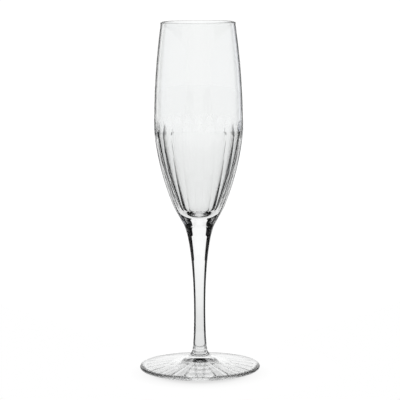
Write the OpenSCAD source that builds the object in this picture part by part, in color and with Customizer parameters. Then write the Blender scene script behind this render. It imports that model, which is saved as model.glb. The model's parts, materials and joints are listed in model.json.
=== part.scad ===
// Cut crystal champagne flute: a blown bowl with ground flutes, a drawn stem and a pressed foot.
// Millimetres, +Z up, origin on the table under the middle of the foot.

/* [Foot] */
// Diameter of the foot
foot_d = 78; // [62:0.5:96]
// Thickness of the foot at its rounded edge
foot_edge_t = 2.2; // [1.6:0.1:3.4]
// Height of the foot, from the table to the stem
foot_h = 12; // [9:0.5:16]
// Diameter at which the flat of the foot turns up into its collar
foot_shoulder_d = 28; // [20:0.5:36]
// Height of the foot's upper face at that diameter
foot_shoulder_h = 6.2; // [4.8:0.1:7.4]
// Width of the ground ring that the foot stands on
rest_ring_w = 2; // [1:0.1:4]
// Height of the hollow under the middle of the foot
foot_hollow_h = 4.5; // [0.6:0.1:5]

/* [Stem] */
// Height of the stem, from the foot to the bowl
stem_h = 83; // [60:1:110]
// Diameter of the stem at its thinnest
stem_waist_d = 7.4; // [6:0.1:9.4]
// Height of the thinnest place above the foot
stem_waist_h = 25; // [16:0.5:32]
// Diameter of the joint between stem and foot
foot_joint_d = 9.7; // [9.5:0.1:13]
// Diameter of the joint between stem and bowl
bowl_joint_d = 20.6; // [16:0.1:26]
// Depth of the crease around the joint between stem and foot
joint_crease = 0.25; // [0.1:0.05:0.5]

/* [Bowl] */
// Height of the bowl, from the stem to the rim
bowl_h = 130; // [105:1:160]
// Largest outer diameter of the bowl
belly_d = 57.4; // [46:0.2:70]
// Height of that largest diameter above the stem
belly_h = 63; // [48:0.5:78]
// Outer diameter of the rim
rim_d = 47.8; // [38:0.2:58]
// Thickness of the wall above the flutes
wall_t = 1.2; // [1:0.05:2]
// Thickness of solid glass between the joint and the inside of the bowl
base_t = 6.1; // [4:0.1:7.5]
// Height of the straight neck between the stem and the curve of the bowl
neck_h = 7; // [4:0.5:12]
// Radius of the rounded bottom inside the bowl
well_r = 11.5; // [9:0.1:13]

/* [Cutting] */
// Number of flutes around the bowl, and of rays under the foot
flute_count = 24; // [12:1:30]
// Height of the flutes' pointed tops above the widest place of the bowl
flute_rise = 4.5; // [0:0.5:8]
// Height of the flutes' lower ends above the neck
flute_low_h = 1.3; // [0.5:0.1:4]
// Depth of the flutes at mid length
flute_depth = 1.3; // [0.4:0.05:1.6]
// Radius of the flutes' hollow cross-section
flute_r = 28; // [12:0.5:40]
// Depth of the rays under the foot
ray_depth = 0.15; // [0.1:0.05:0.6]
// Radius of the rays' hollow cross-section
ray_r = 12; // [8:0.5:30]
// Distance from the middle of the foot to the inner ends of the rays
ray_start = 9; // [6:0.5:12]
// Distance between the rays and the ground ring
ray_margin = 1.5; // [0.5:0.1:4]

/* [Hidden] */
$fn = 96;

curve_steps = 9;         // straight pieces in each curve of an outline
edge_steps = 6;          // straight pieces around a rounded edge
well_angle = 65;         // how far the rounded bottom turns before the wall takes over
crease_angle = 25;       // lean of both outlines where stem and foot meet
waist_pull = 30;         // how far the waist's upright direction carries up the stem
top_pull = 7.6;          // how far the neck's direction carries down the stem
low_pull = 16.7;         // how far the waist's upright direction carries down the stem
crease_pull = 0.3;       // how far the joint's direction carries up the stem
collar_pull = 3;         // how far the joint's direction carries down the foot
shoulder_pull = 6;       // how far the flat's direction carries in to the collar
wall_pull = 16;          // how far each end's direction carries along the inner wall
over_cut = 4;            // how far a cutter runs on past where it leaves the glass
start_turn = 3.1;        // turn of each blank, so that no cut runs along the line where its surface closes
glass = [0.86, 0.92, 0.93, 0.55];

foot_r = foot_d / 2;
foot_joint_r = foot_joint_d / 2;
bowl_joint_r = bowl_joint_d / 2;
waist_r = stem_waist_d / 2;
belly_r = belly_d / 2;
rim_r = rim_d / 2;

stem_z = foot_h;
waist_z = stem_z + stem_waist_h;
bowl_z = stem_z + stem_h;
neck_z = bowl_z + neck_h;
belly_z = bowl_z + belly_h;
rim_z = bowl_z + bowl_h;
flute_top_z = belly_z + flute_rise;
flute_low_z = neck_z + flute_low_h;

rest_out_r = foot_r - foot_edge_t / 2;
rest_in_r = rest_out_r - rest_ring_w;
function underside(r) = foot_hollow_h * (1 - r / rest_in_r);

// The lower bowl is one arc, upright at the belly, that runs straight on down the neck.
arc_h = belly_z - neck_z;
function lower_width(lean) = arc_h * tan(lean / 2) + neck_h * tan(lean);
function solve_lean(lo, hi, n) =
    n == 0 ? (lo + hi) / 2 :
    lower_width((lo + hi) / 2) < belly_r - bowl_joint_r ? solve_lean((lo + hi) / 2, hi, n - 1) :
    solve_lean(lo, (lo + hi) / 2, n - 1);
neck_lean = solve_lean(0, 80, 40);
lower_arc_r = arc_h / sin(neck_lean);
neck_top_r = bowl_joint_r + neck_h * tan(neck_lean);

// The upper bowl is one arc from the belly to the rim.
upper_h = rim_z - belly_z;
upper_in = belly_r - rim_r;
upper_arc_r = (pow(upper_h, 2) + pow(upper_in, 2)) / (2 * upper_in);

function arc_in(r, h) = r - sqrt(pow(r, 2) - pow(h, 2));
function outer_r(z) =
    z < neck_z ? bowl_joint_r + (z - bowl_z) * tan(neck_lean) :
    z < belly_z ? belly_r - arc_in(lower_arc_r, belly_z - z) :
    belly_r - arc_in(upper_arc_r, z - belly_z);

function bezier(a, b, c, d, t) =
    pow(1 - t, 3) * a + 3 * pow(1 - t, 2) * t * b + 3 * (1 - t) * pow(t, 2) * c + pow(t, 3) * d;
function curve(a, b, c, d) = [for (i = [1:curve_steps]) bezier(a, b, c, d, i / curve_steps)];
function arc_points(centre, r, from, to, steps) =
    [for (i = [0:steps]) let (a = from + (to - from) * i / steps) centre + r * [cos(a), sin(a)]];
function up_heights(lo, hi, steps) = [for (i = [1:steps]) lo + (hi - lo) * i / steps];

// Foot: ground ring, rounded edge, gently sloping flat and a collar that flares from the stem.
function foot_outline() =
    let (shoulder = [foot_shoulder_d / 2, foot_shoulder_h],
         edge_top = [rest_out_r, foot_edge_t],
         slope = (shoulder - edge_top) / norm(shoulder - edge_top),
         collar = [foot_joint_r, foot_h - joint_crease])
    concat(
        [[0, foot_hollow_h], [rest_in_r, 0]],
        arc_points([rest_out_r, foot_edge_t / 2], foot_edge_t / 2, -90, 90, edge_steps),
        [shoulder],
        curve(shoulder, shoulder + shoulder_pull * slope,
              collar + collar_pull * [sin(crease_angle), -cos(crease_angle)], collar),
        [[foot_joint_r - joint_crease, foot_h], [0, foot_h]]);

// One ray's cutter: a round bar under the foot, flush at its inner end and deepest at its outer end.
module ray_cutter() {
    inner = [ray_start, underside(ray_start)];
    outer = [rest_in_r - ray_margin, underside(rest_in_r - ray_margin) + ray_depth];
    run = outer - inner;
    translate([inner[0], 0, inner[1]])
        rotate([0, -atan2(run[1], run[0]), 0])
            translate([-over_cut, 0, -ray_r])
                rotate([0, 90, 0]) cylinder(r = ray_r, h = norm(run) + over_cut);
}

module foot() {
    color(glass)
        difference() {
            rotate([0, 0, start_turn]) rotate_extrude() polygon(foot_outline());
            for (i = [0:flute_count - 1])
                rotate([0, 0, i * 360 / flute_count]) ray_cutter();
        }
}

// Stem: from the crease on the foot to its waist, then up and out into the bowl.
function stem_outline() =
    let (bottom = [foot_joint_r, stem_z + joint_crease],
         waist = [waist_r, waist_z],
         top = [bowl_joint_r, bowl_z])
    concat(
        [[0, stem_z], [foot_joint_r - joint_crease, stem_z], bottom],
        curve(bottom, bottom + crease_pull * [-sin(crease_angle), cos(crease_angle)],
              waist - [0, low_pull], waist),
        curve(waist, waist + [0, waist_pull],
              top - top_pull * [sin(neck_lean), cos(neck_lean)], top),
        [[0, bowl_z]]);

module stem() {
    color(glass) rotate_extrude() polygon(stem_outline());
}

// Bowl: solid neck, round belly, drawn-in lip with a melted edge, and a rounded well inside.
function bowl_outline() =
    let (lip_z = rim_z - wall_t / 2,
         lip = [outer_r(lip_z) - wall_t / 2, lip_z],
         well_z = bowl_z + base_t + well_r,
         well_top = [0, well_z] + well_r * [sin(well_angle), -cos(well_angle)],
         belly_in = [belly_r - wall_t, belly_z])
    concat(
        [[0, bowl_z], [bowl_joint_r, bowl_z], [neck_top_r, neck_z]],
        [for (z = up_heights(neck_z, belly_z, curve_steps)) [outer_r(z), z]],
        [for (z = up_heights(belly_z, lip_z - wall_t, curve_steps)) [outer_r(z), z]],
        arc_points(lip, wall_t / 2, 0, 180, edge_steps),
        [for (i = [curve_steps:-1:1])
            let (z = belly_z + (lip_z - wall_t - belly_z) * i / curve_steps) [outer_r(z) - wall_t, z]],
        [belly_in],
        curve(belly_in, belly_in - [0, wall_pull],
              well_top + wall_pull * [cos(well_angle), sin(well_angle)], well_top),
        [for (i = [edge_steps - 1:-1:0])
            let (a = well_angle * i / edge_steps) [0, well_z] + well_r * [sin(a), -cos(a)]]);

// One flute's cutter: a bar bent to a flatter arc than the bowl, so that it dips in between its ends.
module flute_cutter() {
    low = [outer_r(flute_low_z), flute_low_z];
    high = [outer_r(flute_top_z), flute_top_z];
    middle = (low + high) / 2;
    along = (high - low) / norm(high - low);
    out = [along[1], -along[0]];
    half = norm(high - low) / 2;
    bulge = (outer_r(middle[1]) - middle[0]) * out[0] - flute_depth;
    bend_r = (pow(half, 2) + pow(bulge, 2)) / (2 * bulge);
    centre = middle - (bend_r - bulge) * out;
    reach = atan(over_cut / bend_r);
    from = atan2(low[1] - centre[1], low[0] - centre[0]) - reach;
    to = atan2(high[1] - centre[1], high[0] - centre[0]) + reach;
    translate([centre[0], 0, centre[1]])
        rotate([90, 0, 0])
            rotate([0, 0, from])
                rotate_extrude(angle = to - from) translate([bend_r + flute_r, 0]) circle(r = flute_r);
}

module bowl() {
    color(glass)
        difference() {
            rotate([0, 0, start_turn]) rotate_extrude() polygon(bowl_outline());
            for (i = [0:flute_count - 1])
                rotate([0, 0, i * 360 / flute_count]) flute_cutter();
        }
}

foot();
stem();
bowl();
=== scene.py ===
"""Cut crystal champagne flute: the finished glass and the studio it stands in, around the CAD frame."""

import json
import math

import bpy
import numpy as np
from bpy.props import FloatProperty, FloatVectorProperty, IntProperty, PointerProperty
from mathutils import Matrix, Vector

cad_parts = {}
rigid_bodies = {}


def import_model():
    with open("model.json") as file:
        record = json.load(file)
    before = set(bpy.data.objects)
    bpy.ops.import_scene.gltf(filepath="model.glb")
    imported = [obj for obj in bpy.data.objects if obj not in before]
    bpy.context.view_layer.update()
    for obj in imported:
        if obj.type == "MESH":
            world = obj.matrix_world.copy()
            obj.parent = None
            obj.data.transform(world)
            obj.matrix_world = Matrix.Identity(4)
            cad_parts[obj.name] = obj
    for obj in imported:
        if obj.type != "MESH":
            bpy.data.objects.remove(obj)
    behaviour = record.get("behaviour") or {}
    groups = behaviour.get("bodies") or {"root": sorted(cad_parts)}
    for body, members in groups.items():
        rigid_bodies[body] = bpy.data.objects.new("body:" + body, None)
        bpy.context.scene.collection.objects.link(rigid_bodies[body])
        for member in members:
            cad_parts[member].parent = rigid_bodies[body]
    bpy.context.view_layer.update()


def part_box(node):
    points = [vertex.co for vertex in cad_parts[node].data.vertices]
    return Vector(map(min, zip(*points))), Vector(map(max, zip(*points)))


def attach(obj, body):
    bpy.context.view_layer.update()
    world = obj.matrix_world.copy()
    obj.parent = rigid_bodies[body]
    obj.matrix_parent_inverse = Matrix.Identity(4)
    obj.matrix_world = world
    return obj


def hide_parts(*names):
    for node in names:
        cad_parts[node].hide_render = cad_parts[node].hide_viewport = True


bl_info = {
    "name": "Cut Crystal Flute",
    "version": (1, 0, 0),
    "blender": (4, 5, 0),
    "location": "3D View > Sidebar > Crystal Flute",
    "description": "Builds a fluted crystal champagne glass and a bright-field studio for it",
    "category": "Mesh",
}

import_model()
FOOT_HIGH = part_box("foot")[1]
STEM_LOW, STEM_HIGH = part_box("stem")
BOWL_LOW, BOWL_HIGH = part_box("bowl")
PLAIN_WHITE = (1.0, 1.0, 1.0, 1.0)

# Columns of a mesh to each flute or ray, and the columns on each side of its middle that are cut
COLUMNS = 16
CUT_COLUMNS = 6
STEM_COLUMNS = 192

# Least and most that half a cut's width may be, as shares of half the distance between cuts
LEAST_WIDTH, MOST_WIDTH = 0.02, 0.99

# Rounds of halving that find an angle, and rounds that settle a flute's floor
HALVINGS, SETTLINGS = 40, 8

# Distances in metres at which two vertices become one, and at which a place counts as on a surface
WELD = 0.000002
TOUCH = 0.00001

# Lean of the glass at the joint of foot and stem
COLLAR_LEAN = math.radians(25)

# Reach of the curves' handles in metres: at the foot's shoulder and collar, at the stem's collar, below and
# above its waist and at the bowl, and at both ends of the curve inside the bowl
SHOULDER_HANDLE, COLLAR_HANDLE = 0.006, 0.003
STEM_HANDLES = (0.0003, 0.0167, 0.030, 0.0076)
WALL_HANDLE = 0.016

# Distances between rows of vertices, in metres: on the bowl's neck, in its flutes and on its plain wall, then
# under the foot inside the rays, in the rays and outside them
NECK_ROWS, FLUTE_ROWS, WALL_ROWS = 0.0018, 0.0008, 0.0035
HUB_ROWS, RAY_ROWS, RING_ROWS = 0.003, 0.0007, 0.0005

# Distance of the first row from where the flutes run out (the others' grows with its square), the plain rows
# just above the flutes, and the run of the step at the rays' outer ends
RUN_OUT = 0.00003
ABOVE_FLUTES = (0.0004, 0.0012)
RAY_STEP = 0.00008

# How near to the outer wall a ground vertex is, as a share of the wall, and how upright a level face is
SKIN = 0.2
LEVEL = 0.999


# Settings that a user would change


def length(name, description, default):
    """A length in metres, shown in the scene's own unit."""
    return FloatProperty(
        name=name, description=description, default=default, min=0.0, precision=5, unit="LENGTH"
    )


def angle(name, description, default):
    return FloatProperty(
        name=name, description=description, default=math.radians(default), subtype="ANGLE"
    )


def amount(name, description, default):
    return FloatProperty(name=name, description=description, default=default, min=0.0, precision=4)


def colour(name, description, default):
    return FloatVectorProperty(
        name=name, description=description, default=default, size=4, subtype="COLOR", min=0.0, max=1.0
    )


class FootSettings(bpy.types.PropertyGroup):
    """Sizes of the foot"""

    radius: length("Radius", "Outer radius of the foot", FOOT_HIGH.x)
    height: length("Height", "Height of the foot where the stem sits on it", FOOT_HIGH.z)
    edge: length("Edge", "Thickness at the rounded edge", 0.0022)
    shoulder_radius: length("Shoulder radius", "Radius at which the flat turns up", 0.014)
    shoulder_height: length("Shoulder height", "Height of the upper face there", 0.0062)
    ring: length("Ground ring", "Width of the ring that it stands on", 0.002)
    hollow: length("Hollow", "Height of the hollow under the middle", 0.0045)
    ray_depth: length("Ray depth", "Depth of the rays at their outer ends", 0.00015)
    ray_bar: length("Ray section", "Radius of the rays' hollow cross-section", 0.012)
    ray_start: length("Ray start", "Radius at the rays' inner ends", 0.009)
    ray_margin: length("Ray margin", "Distance between the rays and the ground ring", 0.0015)


class StemSettings(bpy.types.PropertyGroup):
    """Sizes of the stem"""

    waist: length("Waist radius", "Radius at the thinnest place", 0.0037)
    waist_height: length("Waist height", "Height of the thinnest place above the foot", 0.025)
    foot_joint: length("Foot joint radius", "Radius of the joint with the foot", 0.00485)
    bowl_joint: length("Bowl joint radius", "Radius of the joint with the bowl", STEM_HIGH.x)
    crease: length("Crease", "Depth of the crease around the foot joint", 0.00025)


class BowlSettings(bpy.types.PropertyGroup):
    """Sizes of the bowl and its flutes"""

    belly: length("Belly radius", "Largest outer radius", BOWL_HIGH.x)
    belly_height: length("Belly height", "Height of that radius above the stem", 0.063)
    rim: length("Rim radius", "Outer radius of the rim", 0.0239)
    wall: length("Wall", "Thickness of the wall above the flutes", 0.0012)
    base: length("Base", "Solid glass between the joint and the inside", 0.0061)
    neck: length("Neck", "Height of the straight neck", 0.007)
    well: length("Well radius", "Radius of the rounded bottom inside", 0.0115)
    well_turn: angle("Well turn", "How far the rounded bottom turns up to the wall", 65.0)
    flute_rise: length("Flute rise", "Height of the flutes' points above the belly", 0.0045)
    flute_low: length("Flute low end", "Height of the flutes' lower ends above the neck", 0.0013)
    flute_depth: length("Flute depth", "Depth of the flutes at mid length", 0.0013)
    flute_bar: length("Flute section", "Radius of the flutes' hollow cross-section", 0.028)
    land: length("Ridge width", "Width of the polished ridge between flutes", 0.00012)
    flutes: IntProperty(
        name="Flutes", description="Number of flutes, and of rays under the foot", default=24, min=3
    )


class GlassSettings(bpy.types.PropertyGroup):
    """Look of the crystal"""

    tint: colour("Tint", "Colour of the clear crystal", (0.985, 0.992, 0.990, 1.0))
    ior: amount("Refraction", "Index of refraction", 1.54)
    ripple: length("Ripple", "Height of the soft waves left by the fire polish", 0.000004)
    polish: length("Polish lines", "Height of the fine lines left in the cuts", 0.0000008)
    smear: amount("Smears", "Roughness where a cloth left a film", 0.02)


class StudioSettings(bpy.types.PropertyGroup):
    """Camera, cards and floor"""

    camera_distance: length("Camera distance", "Level distance from the glass", 1.2)
    camera_height: length("Camera height", "Height above the floor", 0.273)
    camera_pitch: angle("Camera pitch", "How far the camera looks down", 7.717)
    camera_roll: angle("Camera roll", "How far the camera leans clockwise", 0.33)
    backdrop: length("Backdrop distance", "Distance of the white wall behind the glass", 2.5)
    wall_width: length("Wall width", "Half the width of that wall", 1.45)
    wall_height: length("Wall height", "Height of the wall above the floor", 2.1)
    wall_bottom: length("Wall bottom", "How far the wall reaches below the floor", 0.04)
    near_width: length("Near width", "Half the width of the white sheet nearer the glass", 0.62)
    far_width: length("Far width", "Half the width of the sheet behind it", 1.1)
    wedge_angle: angle("Wedge angle", "Half the angle that the sheets behind the glass are cut to", 34.0)
    white_light: amount("White light", "Brightness of the wall and the sheet", 1.05)
    side_light: amount("Side light", "Brightness of the cards beside the bowl, at their far ends", 0.66)
    fill_light: amount("Fill light", "Brightness of the card behind the camera", 0.32)
    room_light: amount("Room light", "Brightness of the dark room", 0.008)
    top_light: FloatProperty(
        name="Top light", description="Power of the overhead softbox", default=0.5, unit="POWER"
    )


# Modelling helpers


def clear_selection():
    if bpy.context.object and bpy.context.object.mode != "OBJECT":
        bpy.ops.object.mode_set(mode="OBJECT")
    bpy.ops.object.select_all(action="DESELECT")


def lathe(name, outline, columns):
    """Extrudes a vertex along an outline of (radius, height) points and spins that into a closed piece."""
    clear_selection()
    first_r, first_z = outline[0]
    bpy.ops.mesh.primitive_plane_add(size=0.001, location=(first_r, 0.0, first_z))
    piece = bpy.context.object
    piece.name = piece.data.name = name
    bpy.ops.object.transform_apply(location=True)
    bpy.ops.object.mode_set(mode="EDIT")
    bpy.ops.mesh.merge(type="CENTER")
    for (r0, z0), (r1, z1) in zip(outline, outline[1:]):
        bpy.ops.mesh.extrude_vertices_move(TRANSFORM_OT_translate={"value": (r1 - r0, 0.0, z1 - z0)})
    bpy.ops.mesh.select_all(action="SELECT")
    bpy.ops.mesh.spin(steps=columns, angle=math.tau, center=(0.0, 0.0, 0.0), axis=(0.0, 0.0, 1.0))
    bpy.ops.mesh.select_all(action="SELECT")
    bpy.ops.mesh.remove_doubles(threshold=WELD)
    bpy.ops.mesh.normals_make_consistent(inside=False)
    bpy.ops.object.mode_set(mode="OBJECT")
    return piece


def bezier(a, b, c, d, steps):
    """Points of one cubic curve after its start."""
    a, b, c, d = (Vector(p) for p in (a, b, c, d))
    points = []
    for i in range(1, steps + 1):
        t = i / steps
        u = 1.0 - t
        points.append(tuple(u**3 * a + 3 * u * u * t * b + 3 * u * t * t * c + t**3 * d))
    return points


def arc(centre, radius, start, end, steps):
    """Points of a circular arc, with both ends; start and end are degrees from level."""
    angles = [math.radians(start + (end - start) * i / steps) for i in range(steps + 1)]
    return [(centre[0] + radius * math.cos(a), centre[1] + radius * math.sin(a)) for a in angles]


def spread(low, high, step):
    """Even values from low to high, about step apart, without low itself."""
    count = max(1, round(abs(high - low) / step))
    return [low + (high - low) * i / count for i in range(1, count + 1)]


def move_vertices(piece, shift):
    """Passes every vertex, as arrays of radius, angle and height, through shift, which returns all three."""
    mesh = piece.data
    flat = np.empty(len(mesh.vertices) * 3)
    mesh.vertices.foreach_get("co", flat)
    points = flat.reshape(-1, 3)
    radius = np.hypot(points[:, 0], points[:, 1])
    turn = np.arctan2(points[:, 1], points[:, 0])
    radius, turn, height = shift(radius, turn, points[:, 2].copy())
    moved = np.column_stack((radius * np.cos(turn), radius * np.sin(turn), height))
    mesh.vertices.foreach_set("co", moved.ravel())
    mesh.update()


def column_place(turn, count):
    """Each vertex's cut, as the angle of the cut's middle, and the vertex's column counted from there."""
    column = np.rint(turn / math.tau * count * COLUMNS)
    aside = (column + COLUMNS // 2) % COLUMNS - COLUMNS // 2
    middle = (column - aside) * math.tau / (count * COLUMNS)
    return middle, aside


def spread_columns(aside, width, pitch):
    """Angles that put the cut's columns evenly inside its half width and the rest on the land beside it."""
    inside = aside / CUT_COLUMNS * width
    past = (np.abs(aside) - CUT_COLUMNS) / (COLUMNS / 2 - CUT_COLUMNS)
    outside = np.sign(aside) * (width + past * (pitch / 2 - width))
    return np.where(np.abs(aside) <= CUT_COLUMNS, inside, outside)


def halve(gap, high):
    """Angle between 0 and high at which each vertex's gap turns from under to over 0."""
    low, high = np.zeros_like(high), high.copy()
    for _ in range(HALVINGS):
        middle = (low + high) / 2
        over = gap(middle) > 0
        low, high = np.where(over, low, middle), np.where(over, middle, high)
    return (low + high) / 2


def sharpen(piece, corners):
    """Keeps the edges between these vertices sharp in shading."""
    ends = np.empty(len(piece.data.edges) * 2, dtype=np.int64)
    piece.data.edges.foreach_get("vertices", ends)
    sharp = corners[ends.reshape(-1, 2)].all(axis=1)
    for index in np.flatnonzero(sharp):
        piece.data.edges[index].use_edge_sharp = True


def smooth(piece, degrees):
    clear_selection()
    piece.select_set(True)
    bpy.context.view_layer.objects.active = piece
    bpy.ops.object.shade_smooth_by_angle(angle=math.radians(degrees))


def fuse_faces(piece, heights):
    """Gives the flat faces at these heights the second material, because fused glass has no surface there."""
    for face in piece.data.polygons:
        level = abs(face.normal.z) > LEVEL
        if level and any(abs(face.center.z - z) < TOUCH for z in heights):
            face.material_index = 1


def finish_piece(piece, node, glass, joints, sharp):
    """Materials, shading and frame calls of every piece; sharp is the angle past which edges stay sharp."""
    piece.data.materials.clear()
    piece.data.materials.append(glass)
    piece.data.materials.append(joint_material())
    fuse_faces(piece, joints)
    smooth(piece, sharp)
    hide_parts(node)
    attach(piece, "root")


# Outlines, each a list of (radius, height) points


def solve_lean(settings, joint_radius):
    """Angle at which the bowl's lower arc runs into its neck, found by halving."""
    arc_height = settings.belly_height - settings.neck
    low, high = 0.0, math.radians(80)
    for _ in range(HALVINGS):
        lean = (low + high) / 2
        width = arc_height * math.tan(lean / 2) + settings.neck * math.tan(lean)
        low, high = (lean, high) if width < settings.belly - joint_radius else (low, lean)
    return lean


class BowlShape:
    """The bowl's blank before grinding, and the path that the grinding wheel takes."""

    def __init__(self, settings, joint_radius):
        self.sizes = settings
        self.joint = joint_radius
        self.bottom = BOWL_LOW.z
        self.top = BOWL_HIGH.z
        self.neck_z = self.bottom + settings.neck
        self.belly_z = self.bottom + settings.belly_height
        self.lean = solve_lean(settings, joint_radius)
        self.lower_arc = (self.belly_z - self.neck_z) / math.sin(self.lean)
        rise, inset = self.top - self.belly_z, settings.belly - settings.rim
        self.upper_arc = (rise**2 + inset**2) / (2 * inset)
        self.flute_low = self.neck_z + settings.flute_low
        self.flute_top = self.belly_z + settings.flute_rise

    def outer(self, z):
        """Outer radius of the blank at this height."""
        if z < self.neck_z:
            return self.joint + (z - self.bottom) * math.tan(self.lean)
        bend = self.lower_arc if z < self.belly_z else self.upper_arc
        return self.sizes.belly - bend + math.sqrt(bend**2 - (z - self.belly_z) ** 2)

    def rows(self):
        """Heights of the outer wall's rows, closer together where the flutes run out."""
        fine = [RUN_OUT * k**2 for k in range(1, 14)]
        rows = spread(self.bottom, self.flute_low, NECK_ROWS)
        rows += [self.flute_low + d for d in fine]
        rows += spread(self.flute_low + fine[-1], self.flute_top - fine[-1], FLUTE_ROWS)
        rows += [self.flute_top - d for d in reversed(fine[:-1])] + [self.flute_top]
        rows += [self.flute_top + d for d in ABOVE_FLUTES]
        return rows

    def outline(self):
        """The blank's outline, from the joint up the outside, over the lip and down the inside."""
        wall, well = self.sizes.wall, self.sizes.well
        lip_z = self.top - wall / 2
        lip = (self.outer(lip_z) - wall / 2, lip_z)
        plain_top = lip_z - wall
        heights = self.rows()
        heights += spread(heights[-1], plain_top, WALL_ROWS)
        outside = [(0.0, self.bottom), (self.joint, self.bottom)]
        outside += [(self.outer(z), z) for z in heights]
        down = [plain_top, *spread(plain_top, self.belly_z, WALL_ROWS)]
        inside = [(self.outer(z) - wall, z) for z in down]
        turn = self.sizes.well_turn
        well_z = self.bottom + self.sizes.base + well
        well_top = (well * math.sin(turn), well_z - well * math.cos(turn))
        start = inside[-1]
        inside += bezier(
            start,
            (start[0], start[1] - WALL_HANDLE),
            (well_top[0] + WALL_HANDLE * math.cos(turn), well_top[1] + WALL_HANDLE * math.sin(turn)),
            well_top,
            steps=30,
        )
        inside += arc((0.0, well_z), well, math.degrees(turn) - 90, -90, steps=16)[1:-1]
        inside.append((0.0, well_z - well))
        return outside + arc(lip, wall / 2, 0, 180, steps=12) + inside

    def wheel_path(self):
        """Centre and radius of the arc that the middle of each flute's floor follows."""
        low = Vector((self.outer(self.flute_low), self.flute_low))
        high = Vector((self.outer(self.flute_top), self.flute_top))
        along = (high - low).normalized()
        out = Vector((along.y, -along.x))
        half = (high - low).length / 2
        middle = (low + high) / 2
        bulge = (self.outer(middle.y) - middle.x) * out.x - self.sizes.flute_depth
        bend = (half**2 + bulge**2) / (2 * bulge)
        return middle - (bend - bulge) * out, bend

    def grind(self, radius, turn, height):
        """Presses the flutes into the outer wall and lines its columns up with their edges."""
        bar, pitch = self.sizes.flute_bar, math.tau / self.sizes.flutes
        centre, bend = self.wheel_path()

        def ground(across):
            """Distance of the flutes' floor from the axis, this far to the side of its middle."""
            reach = bend + bar - np.sqrt(bar**2 - across**2)
            return centre.x + np.sqrt(np.maximum(reach**2 - (height - centre.y) ** 2, 0.0))

        middle, aside = column_place(turn, self.sizes.flutes)
        blank = np.array([self.outer(z) for z in height])
        outside = np.abs(radius - blank) < self.sizes.wall * SKIN
        cut = outside & (height > self.flute_low - TOUCH) & (height < self.flute_top + TOUCH)
        widest = pitch / 2 - self.sizes.land / 2 / blank
        width = halve(lambda a: ground(blank * np.sin(a)) - blank * np.cos(a), widest)
        width = np.maximum(width, widest * LEAST_WIDTH)
        angle = spread_columns(aside, width, pitch)
        bound = np.clip(angle, -width, width)
        floor = blank.copy()
        for _ in range(SETTLINGS):
            floor = ground(floor * np.sin(bound)) / np.cos(bound)
        self.edges = cut & (np.abs(aside) == CUT_COLUMNS)
        radius = np.where(cut, np.minimum(radius, floor), radius)
        return radius, np.where(cut, middle + angle, turn), height


def stem_outline(stem, lean):
    """The stem's outline from its crease, in to the waist and out to the bowl, where it has this lean."""
    bottom, top = STEM_LOW.z, STEM_HIGH.z
    waist = (stem.waist, bottom + stem.waist_height)
    foot_end = (stem.foot_joint, bottom + stem.crease)
    collar, below, above, flare = STEM_HANDLES
    outline = [(0.0, bottom), (stem.foot_joint - stem.crease, bottom), foot_end]
    outline += bezier(
        foot_end,
        (foot_end[0] - collar * math.sin(COLLAR_LEAN), foot_end[1] + collar * math.cos(COLLAR_LEAN)),
        (waist[0], waist[1] - below),
        waist,
        steps=22,
    )
    outline += bezier(
        waist,
        (waist[0], waist[1] + above),
        (stem.bowl_joint - flare * math.sin(lean), top - flare * math.cos(lean)),
        (stem.bowl_joint, top),
        steps=44,
    )
    return [*outline, (0.0, top)]


def rest_ring(foot):
    """Inner and outer radius of the ground ring that the foot stands on."""
    rest_out = foot.radius - foot.edge / 2
    return rest_out - foot.ring, rest_out


def underside(foot, r):
    """Height of the foot's hollow underside at this radius, without its rays."""
    return foot.hollow * (1 - r / rest_ring(foot)[0])


def foot_outline(foot, stem):
    """The foot's outline, from the middle of its underside around its edge to the joint with the stem."""
    rest_in, rest_out = rest_ring(foot)
    rays_end = rest_in - foot.ray_margin
    radii = spread(0.0, foot.ray_start, HUB_ROWS) + spread(foot.ray_start, rays_end - RAY_STEP, RAY_ROWS)
    radii += [rays_end, *spread(rays_end, rest_in, RING_ROWS)]
    outline = [(0.0, foot.hollow)] + [(r, underside(foot, r)) for r in radii]
    outline += arc((rest_out, foot.edge / 2), foot.edge / 2, -90, 82, steps=12)
    edge_top = Vector(outline[-1])
    shoulder = Vector((foot.shoulder_radius, foot.shoulder_height))
    slope = (shoulder - edge_top).normalized()
    outline += [tuple(edge_top.lerp(shoulder, i / 10)) for i in range(1, 11)]
    collar = Vector((stem.foot_joint, foot.height - stem.crease))
    down = Vector((math.sin(COLLAR_LEAN), -math.cos(COLLAR_LEAN)))
    outline += bezier(
        shoulder,
        shoulder + SHOULDER_HANDLE * slope,
        collar + COLLAR_HANDLE * down,
        collar,
        steps=26,
    )
    return [*outline, (stem.foot_joint - stem.crease, foot.height), (0.0, foot.height)]


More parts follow.
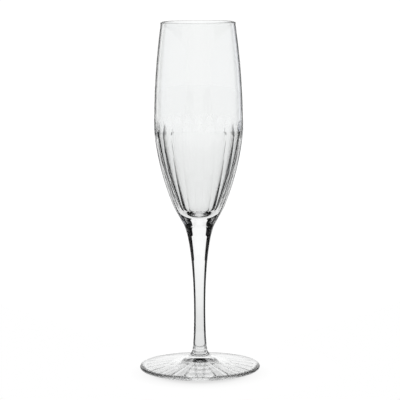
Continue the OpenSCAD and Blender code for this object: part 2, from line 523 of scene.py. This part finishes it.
class RayShape:
    """Shallow rays pressed up into the foot's underside."""

    def __init__(self, foot, count):
        self.foot = foot
        self.count = count

    def cut(self, radius, turn, height):
        """Lifts the underside into the rays and lines its columns up with their edges."""
        foot, bar, pitch = self.foot, self.foot.ray_bar, math.tau / self.count
        start, end = foot.ray_start, rest_ring(foot)[0] - foot.ray_margin
        low, high = underside(foot, start), underside(foot, end) + foot.ray_depth
        plain = underside(foot, radius)

        def roof(angle):
            """Height of a ray's roof at this angle from its middle."""
            out, across = radius * np.cos(angle), radius * np.sin(angle)
            return low + (out - start) * (high - low) / (end - start) - bar + np.sqrt(bar**2 - across**2)

        middle, aside = column_place(turn, self.count)
        below = (np.abs(height - plain) < TOUCH) & (radius < end + TOUCH) & (radius > start - TOUCH)
        width = halve(lambda a: plain - roof(np.where(below, a, 0.0)), np.full_like(radius, pitch / 2))
        width = np.clip(width, pitch / 2 * LEAST_WIDTH, pitch / 2 * MOST_WIDTH)
        angle = spread_columns(aside, width, pitch)
        lifted = np.maximum(plain, roof(np.where(below, np.clip(angle, -width, width), 0.0)))
        deep = below & (radius < end - TOUCH)
        self.edges = below & ((np.abs(aside) == CUT_COLUMNS) | ~deep)
        return radius, np.where(below, middle + angle, turn), np.where(deep, lifted, height)


# Materials


def node(tree, kind, **values):
    """Adds a shader node and sets its properties and, by name, its inputs."""
    made = tree.nodes.new(kind)
    for key, value in values.items():
        if hasattr(made, key):
            setattr(made, key, value)
        else:
            made.inputs[key.replace("_", " ")].default_value = value
    return made


def new_group(name, inputs, outputs):
    """A shader node group with named float inputs and outputs."""
    group = bpy.data.node_groups.new(name, "ShaderNodeTree")
    for label, default in inputs:
        socket = group.interface.new_socket(name=label, in_out="INPUT", socket_type="NodeSocketFloat")
        socket.default_value = default
    for label in outputs:
        group.interface.new_socket(name=label, in_out="OUTPUT", socket_type="NodeSocketFloat")
    return group, group.nodes.new("NodeGroupInput"), group.nodes.new("NodeGroupOutput")


def upright_noise_group(name, scale, height_label, upright, **noise):
    """Noise drawn out up the glass, as a height for Bump: upright is its share of the scale that way."""
    if name in bpy.data.node_groups:
        return bpy.data.node_groups[name]
    group, ins, outs = new_group(name, [("Scale", scale), (height_label, 1.0)], ["Height"])
    place = node(group, "ShaderNodeTexCoord")
    stretch = node(group, "ShaderNodeMapping")
    stretch.inputs["Scale"].default_value = (1.0, 1.0, upright)
    waves = node(group, "ShaderNodeTexNoise", **noise)
    scaled = node(group, "ShaderNodeMath", operation="MULTIPLY")
    link = group.links.new
    link(place.outputs["Object"], stretch.inputs["Vector"])
    link(stretch.outputs["Vector"], waves.inputs["Vector"])
    link(ins.outputs["Scale"], waves.inputs["Scale"])
    link(waves.outputs["Fac"], scaled.inputs[0])
    link(ins.outputs[height_label], scaled.inputs[1])
    link(scaled.outputs["Value"], outs.inputs["Height"])
    return group


def fire_polish_group():
    """Soft waves that a flame leaves in blown and drawn glass, longer up the glass than around it."""
    return upright_noise_group("Fire Polish", 60.0, "Wave Height", 0.35, Detail=1.0, Roughness=0.4)


def polish_line_group():
    """Fine lines that run up the ground flutes."""
    return upright_noise_group("Polish Lines", 900.0, "Line Height", 0.06, Detail=2.0, Roughness=0.5)


def cloth_smear_group():
    """Faint film left by a polishing cloth, as a roughness."""
    if "Cloth Smear" in bpy.data.node_groups:
        return bpy.data.node_groups["Cloth Smear"]
    group, ins, outs = new_group("Cloth Smear", [("Scale", 40.0), ("Roughness", 0.02)], ["Roughness"])
    place = node(group, "ShaderNodeTexCoord")
    film = node(group, "ShaderNodeTexNoise", Detail=3.0, Roughness=0.6, Distortion=1.2)
    band = node(group, "ShaderNodeMapRange")
    band.inputs["From Min"].default_value = 0.55
    band.inputs["From Max"].default_value = 0.8
    scaled = node(group, "ShaderNodeMath", operation="MULTIPLY")
    link = group.links.new
    link(place.outputs["Object"], film.inputs["Vector"])
    link(ins.outputs["Scale"], film.inputs["Scale"])
    link(film.outputs["Fac"], band.inputs["Value"])
    link(band.outputs["Result"], scaled.inputs[0])
    link(ins.outputs["Roughness"], scaled.inputs[1])
    link(scaled.outputs["Value"], outs.inputs["Roughness"])
    return group


def crystal_material(name, glass, ripple_scale, line_height=0.0):
    """Clear crystal with fire-polish waves, polish lines and a film of smears."""
    material = bpy.data.materials.new(name)
    material.use_nodes = True
    tree = material.node_tree
    surface = tree.nodes["Principled BSDF"]
    surface.inputs["Base Color"].default_value = glass.tint
    surface.inputs["Metallic"].default_value = 0.0
    surface.inputs["IOR"].default_value = glass.ior
    surface.inputs["Transmission Weight"].default_value = 1.0
    ripple = node(tree, "ShaderNodeGroup", node_tree=fire_polish_group())
    ripple.inputs["Scale"].default_value = ripple_scale
    ripple.inputs["Wave Height"].default_value = glass.ripple
    lines = node(tree, "ShaderNodeGroup", node_tree=polish_line_group())
    lines.inputs["Line Height"].default_value = line_height
    smear = node(tree, "ShaderNodeGroup", node_tree=cloth_smear_group())
    smear.inputs["Roughness"].default_value = glass.smear
    height = node(tree, "ShaderNodeMath", operation="ADD")
    bump = node(tree, "ShaderNodeBump")
    bump.inputs["Strength"].default_value = 1.0
    bump.inputs["Distance"].default_value = 1.0
    link = tree.links.new
    link(ripple.outputs["Height"], height.inputs[0])
    link(lines.outputs["Height"], height.inputs[1])
    link(height.outputs["Value"], bump.inputs["Height"])
    link(bump.outputs["Normal"], surface.inputs["Normal"])
    link(smear.outputs["Roughness"], surface.inputs["Roughness"])
    return material


def joint_material():
    """The unseen face inside a fused joint: light passes it straight."""
    if "Fused Joint" in bpy.data.materials:
        return bpy.data.materials["Fused Joint"]
    material = bpy.data.materials.new("Fused Joint")
    material.use_nodes = True
    surface = material.node_tree.nodes["Principled BSDF"]
    surface.inputs["Alpha"].default_value = 0.0
    return material


def ramp(tree, stops):
    """A colour ramp through grey stops of (position, brightness)."""
    made = tree.nodes.new("ShaderNodeValToRGB")
    points = made.color_ramp.elements
    while len(points) < len(stops):
        points.new(1.0)
    for point, (position, grey) in zip(points, stops):
        point.position = position
        point.color = (grey, grey, grey, 1.0)
    return made


def fade_by_place(tree, stops, measure, low, high):
    """Brightness that follows stops from low to high, measured outwards or along a local axis."""
    place = node(tree, "ShaderNodeTexCoord")
    if measure == "LENGTH":
        distance = node(tree, "ShaderNodeVectorMath", operation="LENGTH")
        tree.links.new(place.outputs["Object"], distance.inputs[0])
        value = distance.outputs["Value"]
    else:
        distance = node(tree, "ShaderNodeSeparateXYZ")
        tree.links.new(place.outputs["Object"], distance.inputs["Vector"])
        value = distance.outputs[measure]
    share = node(tree, "ShaderNodeMapRange")
    share.inputs["From Min"].default_value = low
    share.inputs["From Max"].default_value = high
    fade = ramp(tree, stops)
    tree.links.new(value, share.inputs["Value"])
    tree.links.new(share.outputs["Result"], fade.inputs["Fac"])
    return fade.outputs["Color"]


def glow_material(name, seen, lit_by, tint=PLAIN_WHITE):
    """Matt surface that gives off light: seen is what the camera sees of it, lit_by what the glass sees.

    Each is a brightness, or a tuple of stops, measure, low and high for fade_by_place.
    """
    material = bpy.data.materials.new(name)
    material.use_nodes = True
    tree = material.node_tree
    surface = tree.nodes["Principled BSDF"]
    surface.inputs["Base Color"].default_value = (0.02, 0.02, 0.02, 1.0)
    surface.inputs["Roughness"].default_value = 1.0
    surface.inputs["Specular IOR Level"].default_value = 0.0
    surface.inputs["Emission Color"].default_value = tint
    ray = node(tree, "ShaderNodeLightPath")
    mix = node(tree, "ShaderNodeMix", data_type="FLOAT")
    tree.links.new(ray.outputs["Is Camera Ray"], mix.inputs["Factor"])
    for glow, socket in ((lit_by, mix.inputs["A"]), (seen, mix.inputs["B"])):
        if isinstance(glow, float):
            socket.default_value = glow
        else:
            tree.links.new(fade_by_place(tree, *glow), socket)
    tree.links.new(mix.outputs["Result"], surface.inputs["Emission Strength"])
    return material


# Operators

# Cards: the place of each one on the right, mirrored on the left, and its width and height, all in metres
SIDE_PLACE, SIDE_SIZE = (0.1, -0.025, 0.189), (0.27, 0.084)
SHELF_PLACE, SHELF_SIZE = (0.07, -0.025, 0.146), (0.27, 0.06)
FLAG_PLACE, FLAG_SIZE = (0.113, 0.21, 0.182), (0.056, 0.12)
FILL_PLACE, FILL_SIZE = (0.0, -1.7, 0.3), (4.0, 3.0)
SHEET_START, SHEET_SEAM = 0.04, 0.95
COOL_TINT = (0.9, 0.92, 1.0, 1.0)

# Floor: its radius, the shift of its painted contact shadow to the front, the gap under the foot and the
# reach of its painted shadow and painted light
FLOOR_RADIUS, PAINTED_SHADOW_SHIFT, FLOOR_GAP, PAINTED_FADE_REACH = 0.09, 0.013, 0.0003, 0.08

# Fades, each a list of (position, brightness) stops
# Painted contact shadow: the floor's glow as the camera sees it, darker close around the foot and most to its
# front
PAINTED_FLOOR_SHADOW = [(0.0, 0.7), (0.3, 0.72), (0.345, 0.75), (0.39, 0.85), (0.43, 0.925), (0.5, 0.97), (0.58, 1.0)]
# Painted light: the floor's glow as the glass sees it, bright under the foot and fading to dark beyond it
PAINTED_FLOOR_LIGHT = [(0.0, 0.8), (0.5, 0.78), (0.6, 0.12), (1.0, 0.02)]
# Painted light on the sheets as the glass sees them: dimmer near the glass and brighter far off, as if light
# fell off across them
PAINTED_SHEET_LIGHT = [(0.0, 0.78), (0.1, 0.84), (0.16, 0.85), (0.23, 0.92), (0.29, 0.95), (0.6, 1.0), (0.94, 1.03)]
SIDE_FADE = [(0.0, 0.45), (0.59, 0.55), (0.74, 0.85), (0.82, 1.0)]


class FLUTE_OT_foot(bpy.types.Operator):
    """Make the foot, with its ground ring and rays"""

    bl_idname = "crystal_flute.foot"
    bl_label = "Make Foot"
    bl_options = {"REGISTER", "UNDO"}

    def execute(self, context):
        foot, stem = context.scene.flute_foot, context.scene.flute_stem
        count = context.scene.flute_bowl.flutes
        piece = lathe("crystal_foot", foot_outline(foot, stem), count * COLUMNS)
        rays = RayShape(foot, count)
        move_vertices(piece, rays.cut)
        glass = crystal_material("Foot Crystal", context.scene.flute_glass, ripple_scale=45.0)
        finish_piece(piece, "foot", glass, joints=[FOOT_HIGH.z], sharp=25)
        sharpen(piece, rays.edges)
        return {"FINISHED"}


class FLUTE_OT_stem(bpy.types.Operator):
    """Make the drawn stem"""

    bl_idname = "crystal_flute.stem"
    bl_label = "Make Stem"
    bl_options = {"REGISTER", "UNDO"}

    def execute(self, context):
        stem = context.scene.flute_stem
        lean = solve_lean(context.scene.flute_bowl, stem.bowl_joint)
        piece = lathe("crystal_stem", stem_outline(stem, lean), STEM_COLUMNS)
        glass = crystal_material("Stem Crystal", context.scene.flute_glass, ripple_scale=90.0)
        finish_piece(piece, "stem", glass, joints=[STEM_LOW.z, STEM_HIGH.z], sharp=30)
        return {"FINISHED"}


class FLUTE_OT_bowl(bpy.types.Operator):
    """Make the bowl and grind its flutes"""

    bl_idname = "crystal_flute.bowl"
    bl_label = "Make Bowl"
    bl_options = {"REGISTER", "UNDO"}

    def execute(self, context):
        bowl = context.scene.flute_bowl
        shape = BowlShape(bowl, context.scene.flute_stem.bowl_joint)
        piece = lathe("crystal_bowl", shape.outline(), bowl.flutes * COLUMNS)
        move_vertices(piece, shape.grind)
        settings = context.scene.flute_glass
        glass = crystal_material("Bowl Crystal", settings, ripple_scale=60.0, line_height=settings.polish)
        finish_piece(piece, "bowl", glass, joints=[BOWL_LOW.z], sharp=25)
        sharpen(piece, shape.edges)
        return {"FINISHED"}


class FLUTE_OT_studio(bpy.types.Operator):
    """Set up the camera, the white wall and sheets, the cards and flags, the floor and the light"""

    bl_idname = "crystal_flute.studio"
    bl_label = "Make Studio"
    bl_options = {"REGISTER", "UNDO"}

    def execute(self, context):
        scene, studio = context.scene, context.scene.flute_studio
        camera = self.add_camera(scene, studio)
        self.add_floor()
        self.add_sheet(camera, "near_sheet", SHEET_START, SHEET_SEAM, studio.near_width, studio)
        self.add_sheet(camera, "far_sheet", SHEET_SEAM, studio.backdrop, studio.far_width, studio)
        self.add_cards(camera, studio)
        self.add_top_light(studio)
        self.set_room(scene, studio)
        return {"FINISHED"}

    def add_camera(self, scene, studio):
        clear_selection()
        bpy.ops.object.camera_add(location=(0.0, -studio.camera_distance, studio.camera_height))
        camera = bpy.context.object
        camera.data.lens = 169.0
        camera.data.sensor_width = 36.0
        camera.data.shift_x = 0.0024
        camera.data.clip_start, camera.data.clip_end = 0.01, 20.0
        look = Matrix.Rotation(math.pi / 2 - studio.camera_pitch, 4, "X")
        roll = Matrix.Rotation(-studio.camera_roll, 4, "Z")
        camera.matrix_world = Matrix.Translation(camera.location) @ look @ roll
        scene.camera = camera
        return camera

    def add_floor(self):
        """Round pale floor whose glow holds a painted contact shadow and painted light; its origin, and so
        that painted shadow, lies to the front.
        """
        clear_selection()
        bpy.ops.mesh.primitive_circle_add(
            vertices=128, radius=FLOOR_RADIUS, fill_type="NGON", location=(0.0, PAINTED_SHADOW_SHIFT, 0.0)
        )
        bpy.ops.object.transform_apply(location=True)
        floor = bpy.context.object
        floor.name = "floor"
        floor.location = (0.0, -PAINTED_SHADOW_SHIFT, -FLOOR_GAP)
        # The camera sees a painted contact shadow in the floor's glow, and the glass sees a painted pool of
        # light under the foot
        seen = (PAINTED_FLOOR_SHADOW, "LENGTH", 0.0, PAINTED_FADE_REACH)
        lit_by = (PAINTED_FLOOR_LIGHT, "LENGTH", 0.0, PAINTED_FADE_REACH)
        floor.data.materials.append(glow_material("Pale Floor With Painted Shadow And Light", seen, lit_by))

    def follow(self, card, camera):
        """Lets a card turn around the glass with the camera."""
        clear_selection()
        card.select_set(True)
        camera.select_set(True)
        bpy.context.view_layer.objects.active = camera
        bpy.ops.object.parent_set(type="OBJECT", keep_transform=True)

    def add_sheet(self, camera, name, near, far, half, studio):
        """White sheet level with the floor behind the glass, cut to a wedge that opens away from it; the
        glass sees painted light on it, dimmer near the glass.
        """
        clear_selection()
        bpy.ops.mesh.primitive_plane_add(size=1.0)
        sheet = bpy.context.object
        sheet.name = name
        sheet.scale = (2 * half, far - near, 1.0)
        sheet.location = (0.0, (far + near) / 2, -0.0001)
        bpy.ops.object.transform_apply(location=True, scale=True)
        bpy.ops.object.mode_set(mode="EDIT")
        for side in (-1, 1):
            bpy.ops.mesh.select_all(action="SELECT")
            out = (side * math.cos(studio.wedge_angle), -math.sin(studio.wedge_angle), 0.0)
            bpy.ops.mesh.bisect(plane_co=(0.0, 0.0, 0.0), plane_no=out, clear_outer=True)
        bpy.ops.object.mode_set(mode="OBJECT")
        white = glow_material(name, studio.white_light, (PAINTED_SHEET_LIGHT, "Y", 0.0, 1.0))
        sheet.data.materials.append(white)
        self.follow(sheet, camera)

    def add_card(
        self, camera, name, centre, size, seen, lit_by, turn=0.0, tilt=math.pi / 2, tint=PLAIN_WHITE
    ):
        """A card of this width and height, upright unless tilt says otherwise, turned about the vertical."""
        clear_selection()
        bpy.ops.mesh.primitive_plane_add(size=1.0)
        card = bpy.context.object
        card.name = name
        card.scale = (size[0], size[1], 1.0)
        bpy.ops.object.transform_apply(scale=True)
        card.rotation_euler = (tilt, 0.0, turn)
        card.location = centre
        card.data.materials.append(glow_material(name, seen, lit_by, tint))
        self.follow(card, camera)

    def add_cards(self, camera, studio):
        """The white wall, and on each side a glowing card, a black shelf under it and a black flag."""
        white, side = studio.white_light, studio.side_light
        tall = studio.wall_height + studio.wall_bottom
        centre = (0.0, studio.backdrop, studio.wall_height - tall / 2)
        self.add_card(camera, "white_wall", centre, (2 * studio.wall_width, tall), white, white)
        fade = [(position, grey * side) for position, grey in SIDE_FADE]
        glow = (fade, "X", -SIDE_SIZE[0] / 2, SIDE_SIZE[0] / 2)
        across = math.pi / 2
        for label, mirror, tint in (("left", -1, PLAIN_WHITE), ("right", 1, COOL_TINT)):
            place = (mirror * SIDE_PLACE[0], *SIDE_PLACE[1:])
            seen = white / min(tint)
            self.add_card(camera, label + "_card", place, SIDE_SIZE, seen, glow, turn=across, tint=tint)
        for label, mirror in (("left", -1), ("right", 1)):
            place = (mirror * SHELF_PLACE[0], *SHELF_PLACE[1:])
            self.add_card(camera, label + "_shelf", place, SHELF_SIZE, white, 0.0, turn=across, tilt=0.0)
        for label, mirror in (("left", -1), ("right", 1)):
            place = (mirror * FLAG_PLACE[0], *FLAG_PLACE[1:])
            self.add_card(camera, label + "_flag", place, FLAG_SIZE, white, 0.0)
        self.add_card(camera, "fill_card", FILL_PLACE, FILL_SIZE, white, studio.fill_light)

    def add_top_light(self, studio):
        clear_selection()
        bpy.ops.object.light_add(type="AREA", location=(0.0, 0.0, 1.6))
        light = bpy.context.object.data
        light.shape = "SQUARE"
        light.size = 0.6
        light.energy = studio.top_light

    def set_room(self, scene, studio):
        """Dark room that the camera itself sees as white, and light paths long enough for thick glass."""
        world = bpy.data.worlds.new("Dark Studio")
        world.use_nodes = True
        tree = world.node_tree
        background = tree.nodes["Background"]
        background.inputs["Color"].default_value = (1.0, 1.0, 1.0, 1.0)
        ray = node(tree, "ShaderNodeLightPath")
        mix = node(tree, "ShaderNodeMix", data_type="FLOAT")
        mix.inputs["A"].default_value = studio.room_light
        mix.inputs["B"].default_value = 1.0
        tree.links.new(ray.outputs["Is Camera Ray"], mix.inputs["Factor"])
        tree.links.new(mix.outputs["Result"], background.inputs["Strength"])
        scene.world = world
        scene.view_settings.view_transform = "Standard"
        scene.cycles.max_bounces = 32
        scene.cycles.transmission_bounces = 32
        scene.cycles.glossy_bounces = 16
        scene.cycles.transparent_max_bounces = 32


class FLUTE_PT_sidebar(bpy.types.Panel):
    """Sizes, glass and studio of the crystal flute"""

    bl_idname = "FLUTE_PT_sidebar"
    bl_label = "Crystal Flute"
    bl_space_type = "VIEW_3D"
    bl_region_type = "UI"
    bl_category = "Crystal Flute"

    def draw(self, context):
        for label, attribute, operator in SECTIONS:
            box = self.layout.box()
            box.label(text=label)
            settings = getattr(context.scene, attribute)
            for name in SETTINGS[attribute].__annotations__:
                box.prop(settings, name)
            if operator:
                box.operator(operator)


SECTIONS = (
    ("Foot", "flute_foot", "crystal_flute.foot"),
    ("Stem", "flute_stem", "crystal_flute.stem"),
    ("Bowl", "flute_bowl", "crystal_flute.bowl"),
    ("Glass", "flute_glass", None),
    ("Studio", "flute_studio", "crystal_flute.studio"),
)
SETTINGS = {
    "flute_foot": FootSettings,
    "flute_stem": StemSettings,
    "flute_bowl": BowlSettings,
    "flute_glass": GlassSettings,
    "flute_studio": StudioSettings,
}
OPERATORS = (FLUTE_OT_foot, FLUTE_OT_stem, FLUTE_OT_bowl, FLUTE_OT_studio)


def register():
    for cls in (*SETTINGS.values(), *OPERATORS, FLUTE_PT_sidebar):
        bpy.utils.register_class(cls)
    for attribute, cls in SETTINGS.items():
        setattr(bpy.types.Scene, attribute, PointerProperty(type=cls))


def unregister():
    for attribute in SETTINGS:
        delattr(bpy.types.Scene, attribute)
    for cls in (FLUTE_PT_sidebar, *reversed(OPERATORS), *reversed(SETTINGS.values())):
        bpy.utils.unregister_class(cls)


def main():
    register()
    bpy.ops.crystal_flute.foot()
    bpy.ops.crystal_flute.stem()
    bpy.ops.crystal_flute.bowl()
    bpy.ops.crystal_flute.studio()


if __name__ == "__main__":
    main()
